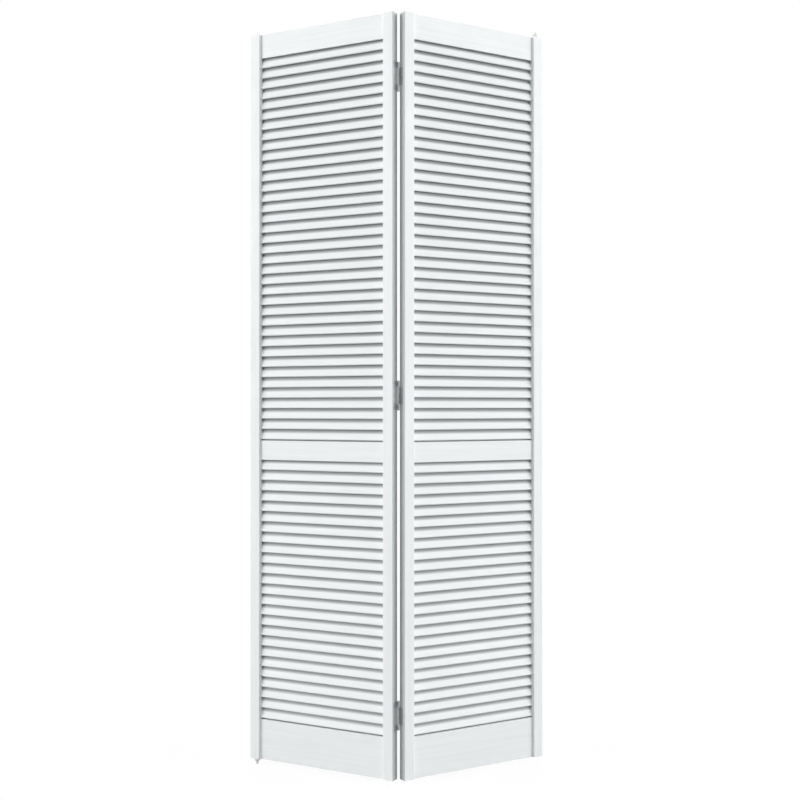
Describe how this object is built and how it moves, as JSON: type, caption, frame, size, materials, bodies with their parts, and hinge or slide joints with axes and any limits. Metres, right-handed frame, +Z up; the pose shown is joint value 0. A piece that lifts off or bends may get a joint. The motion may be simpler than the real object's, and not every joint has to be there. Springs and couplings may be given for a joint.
{
  "type": "bifold closet door",
  "caption": "Two-panel full-louvre bifold closet door in white, half folded, with leaf hinges, sprung top pivot, height-adjusting bottom pivot and track guide roller.",
  "frame": {"origin": "on the jamb pivot axis, at the face of the bottom pivot's collar that rests on the jamb bracket", "axes": "+Z up along the pivot axis, +X along the doorway and head track from the jamb to the lead side, -Y towards the room that the door folds into"},
  "size_m": [0.8121, 0.2412, 2.036],
  "materials": {
    "painted_wood": "white satin paint",
    "white_nylon": "satin",
    "hinge_steel": "zinc plated",
    "screw_steel": "zinc plated",
    "plain_steel": "turned",
    "spring_steel": "drawn",
    "dowel_beech": "bare"
  },
  "bodies": {
    "bottom_pivot": {"bottom_pivot_pin": "white_nylon"},
    "door_seat": {"thrust_washer": "plain_steel"},
    "height_nut": {"height_nut": "white_nylon"},
    "pivot_panel": {"jamb_stile": "painted_wood", "pivot_hinge_stile": "painted_wood", "pivot_top_rail": "painted_wood", "pivot_mid_rail": "painted_wood", "pivot_bottom_rail": "painted_wood", "pivot_upper_slats": "painted_wood", "pivot_lower_slats": "painted_wood", "pivot_rail_dowels": "dowel_beech", "bottom_pivot_plug": "white_nylon", "top_pivot_sleeve": "white_nylon", "top_pivot_spring": "spring_steel", "hinge_top_outer_leaf": "hinge_steel", "hinge_middle_outer_leaf": "hinge_steel", "hinge_bottom_outer_leaf": "hinge_steel", "hinge_top_pin": "hinge_steel", "hinge_middle_pin": "hinge_steel", "hinge_bottom_pin": "hinge_steel", "outer_leaf_screws": "screw_steel"},
    "guide_panel": {"lead_stile": "painted_wood", "guide_hinge_stile": "painted_wood", "guide_top_rail": "painted_wood", "guide_mid_rail": "painted_wood", "guide_bottom_rail": "painted_wood", "guide_upper_slats": "painted_wood", "guide_lower_slats": "painted_wood", "guide_rail_dowels": "dowel_beech", "guide_sleeve": "white_nylon", "guide_spring": "spring_steel", "hinge_top_inner_leaf": "hinge_steel", "hinge_middle_inner_leaf": "hinge_steel", "hinge_bottom_inner_leaf": "hinge_steel", "inner_leaf_screws": "screw_steel"},
    "top_pivot_plunger": {"top_pivot_pin": "plain_steel"},
    "top_pivot_cap": {"top_pivot_cap": "white_nylon"},
    "guide_plunger": {"guide_pin": "white_nylon"},
    "guide_roller": {"guide_roller": "white_nylon"}
  },
  "joints": [
    {"name": "height_adjust", "type": "slide", "parent": "bottom_pivot", "child": "door_seat", "axis": [0, 0, 1], "range_m": [0, 0.00953]},
    {"name": "nut_turn", "type": "hinge", "parent": "door_seat", "child": "height_nut", "pos_m": [0, 0, 0], "axis": [0, 0, 1], "continuous": true},
    {"name": "door_swing", "type": "hinge", "parent": "door_seat", "child": "pivot_panel", "pos_m": [0, 0, 0], "axis": [0, 0, 1], "range_deg": [-57, 29.4]},
    {"name": "panel_fold", "type": "hinge", "parent": "pivot_panel", "child": "guide_panel", "pos_m": [0.38744, -0.20009, 0], "axis": [0, 0, 1], "range_deg": [-58.8, 114]},
    {"name": "top_pivot_slide", "type": "slide", "parent": "pivot_panel", "child": "top_pivot_plunger", "axis": [0, 0, 1], "range_m": [-0.00953, 0], "stiffness_N_per_m": 800, "springref_m": 0.012, "deforming": ["top_pivot_spring"]},
    {"name": "top_cap_turn", "type": "hinge", "parent": "top_pivot_plunger", "child": "top_pivot_cap", "pos_m": [0, 0, 0], "axis": [0, 0, 1], "range_deg": [-29.4, 57]},
    {"name": "guide_slide", "type": "slide", "parent": "guide_panel", "child": "guide_plunger", "axis": [0, 0, 1], "range_m": [-0.00635, 0], "stiffness_N_per_m": 800, "springref_m": 0.012, "deforming": ["guide_spring"]},
    {"name": "roller_spin", "type": "hinge", "parent": "guide_plunger", "child": "guide_roller", "pos_m": [0.77488, 0, 0], "axis": [0, 0, 1], "continuous": true}
  ],
  "couplings": [
    {"joint": "panel_fold", "follows": "door_swing", "ratio": -2},
    {"joint": "top_cap_turn", "follows": "door_swing", "ratio": -1},
    {"joint": "nut_turn", "follows": "height_adjust", "rad_per_m": 3141.6}
  ]
}
